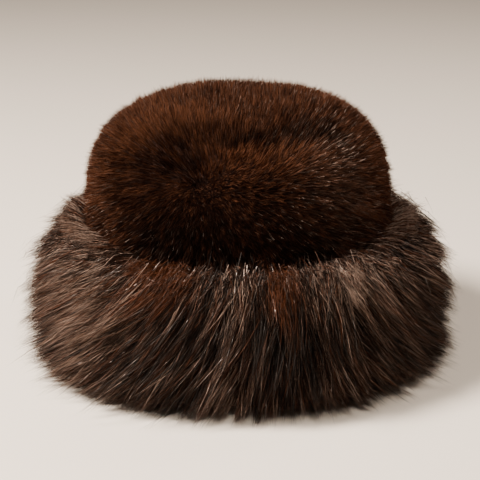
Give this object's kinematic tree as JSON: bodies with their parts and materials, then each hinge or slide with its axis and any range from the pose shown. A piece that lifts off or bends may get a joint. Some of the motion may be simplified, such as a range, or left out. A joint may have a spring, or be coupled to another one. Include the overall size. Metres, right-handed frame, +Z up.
{
  "type": "fur hat",
  "caption": "Brown fur hat with a short-haired, softly dented crown seated in a deep downward brim of long fur, open below for the head.",
  "frame": {"origin": "centre of the head opening in the plane of the hem", "axes": "+Z up out of the crown's top, -Y towards the front of the hat, +X to the right of a viewer who faces the front"},
  "size_m": [0.2894, 0.3087, 0.1733],
  "materials": {
    "crown_fur": "short dense pile",
    "brim_fur": "long glossy guard hair",
    "suede": "matt"
  },
  "bodies": {
    "root": {"crown": "crown_fur", "brim_fur": "brim_fur", "brim_skin": "suede"}
  },
  "joints": []
}
